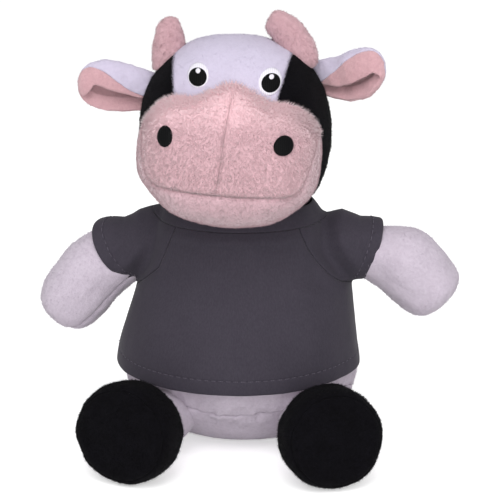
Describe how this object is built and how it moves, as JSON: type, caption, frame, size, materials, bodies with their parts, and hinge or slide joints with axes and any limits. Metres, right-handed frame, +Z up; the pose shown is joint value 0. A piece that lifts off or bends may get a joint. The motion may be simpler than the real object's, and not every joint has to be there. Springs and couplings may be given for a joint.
{
  "type": "plush cow",
  "caption": "Seated stuffed cow with a big pink muzzle, small horns and cupped ears, wearing a plain charcoal T-shirt over a pear-shaped body.",
  "frame": {"origin": "middle of the flat seat, on the surface that the toy sits on", "axes": "+Z up, the face and the soles look along -Y, +X is the toy's own left hand side, to the right of someone who faces it"},
  "size_m": [0.2045, 0.1799, 0.2134],
  "materials": {
    "plush_white": "short-pile plush",
    "plush_black": "short-pile plush",
    "plush_pink": "long-pile plush",
    "plush_chin": "short-pile plush",
    "jersey_charcoal": "smooth jersey knit",
    "thread_black": "satin embroidery",
    "thread_white": "satin embroidery",
    "fibre_fill": "loose polyester fibre",
    "bean_fill": "cloth pouch of pellets"
  },
  "bodies": {
    "torso": {"torso_cover": "plush_white", "seat_panel": "plush_white", "bean_pouch": "bean_fill", "torso_stuffing": "fibre_fill", "shirt_front": "jersey_charcoal", "shirt_back": "jersey_charcoal", "sleeve_left": "jersey_charcoal", "sleeve_right": "jersey_charcoal", "neckband": "jersey_charcoal"},
    "neck": {"neck": "plush_white"},
    "head": {"forehead_gusset": "plush_white", "head_side_left": "plush_black", "head_side_right": "plush_black", "head_stuffing": "fibre_fill", "muzzle_left": "plush_pink", "muzzle_right": "plush_pink", "chin_panel": "plush_chin", "muzzle_stuffing": "fibre_fill", "nostril_left": "thread_black", "nostril_right": "thread_black", "eye_left_white": "thread_white", "eye_left_pupil": "thread_black", "eye_left_glint": "thread_white", "eye_right_white": "thread_white", "eye_right_pupil": "thread_black", "eye_right_glint": "thread_white", "horn_left": "plush_pink", "horn_right": "plush_pink"},
    "ear_left": {"ear_left_back": "plush_white", "ear_left_lining": "plush_pink"},
    "ear_right": {"ear_right_back": "plush_white", "ear_right_lining": "plush_pink"},
    "arm_left": {"arm_left_cover": "plush_white", "arm_left_stuffing": "fibre_fill"},
    "arm_right": {"arm_right_cover": "plush_white", "arm_right_stuffing": "fibre_fill"},
    "leg_left": {"leg_left_cover": "plush_white", "foot_left_upper": "plush_black", "foot_left_sole": "plush_black", "leg_left_stuffing": "fibre_fill"},
    "leg_right": {"leg_right_cover": "plush_white", "foot_right_upper": "plush_black", "foot_right_sole": "plush_black", "leg_right_stuffing": "fibre_fill"},
    "tail": {"tail": "plush_white", "tail_tuft": "plush_black"}
  },
  "joints": [
    {"name": "neck_turn", "type": "hinge", "parent": "torso", "child": "neck", "pos_m": [0, 0, 0.106], "axis": [0, 0, 1], "range_deg": [-25, 25], "stiffness_Nm_per_rad": 0.6},
    {"name": "head_nod", "type": "hinge", "parent": "neck", "child": "head", "pos_m": [0, 0, 0.106], "axis": [1, 0, 0], "range_deg": [-10, 2], "stiffness_Nm_per_rad": 1.2, "deforming": ["neckband"]},
    {"name": "arm_left_raise", "type": "hinge", "parent": "torso", "child": "arm_left", "pos_m": [-0.05, 0, 0.0975], "axis": [0, 1, 0], "range_deg": [-4, 50], "stiffness_Nm_per_rad": 0.12, "deforming": ["sleeve_left"]},
    {"name": "arm_right_raise", "type": "hinge", "parent": "torso", "child": "arm_right", "pos_m": [0.05, 0, 0.0975], "axis": [0, -1, 0], "range_deg": [-20, 35], "stiffness_Nm_per_rad": 0.12, "deforming": ["sleeve_right"]},
    {"name": "leg_left_open", "type": "hinge", "parent": "torso", "child": "leg_left", "pos_m": [-0.034, -0.03, 0.0204], "axis": [0, 0, -1], "range_deg": [-8, 18], "stiffness_Nm_per_rad": 0.15},
    {"name": "leg_right_open", "type": "hinge", "parent": "torso", "child": "leg_right", "pos_m": [0.034, -0.03, 0.0204], "axis": [0, 0, 1], "range_deg": [-8, 18], "stiffness_Nm_per_rad": 0.15},
    {"name": "ear_left_fold", "type": "hinge", "parent": "head", "child": "ear_left", "pos_m": [-0.04411, 0.00597, 0.17217], "axis": [0.1389, 0.0061, 0.9903], "range_deg": [-20, 20], "stiffness_Nm_per_rad": 0.01},
    {"name": "ear_right_fold", "type": "hinge", "parent": "head", "child": "ear_right", "pos_m": [0.03991, 0.00524, 0.17683], "axis": [0.2923, -0.2265, -0.9291], "range_deg": [-20, 20], "stiffness_Nm_per_rad": 0.01},
    {"name": "tail_swing", "type": "hinge", "parent": "torso", "child": "tail", "pos_m": [0, 0.045, 0.021], "axis": [0, 0, 1], "range_deg": [-30, 30], "stiffness_Nm_per_rad": 0.004}
  ]
}
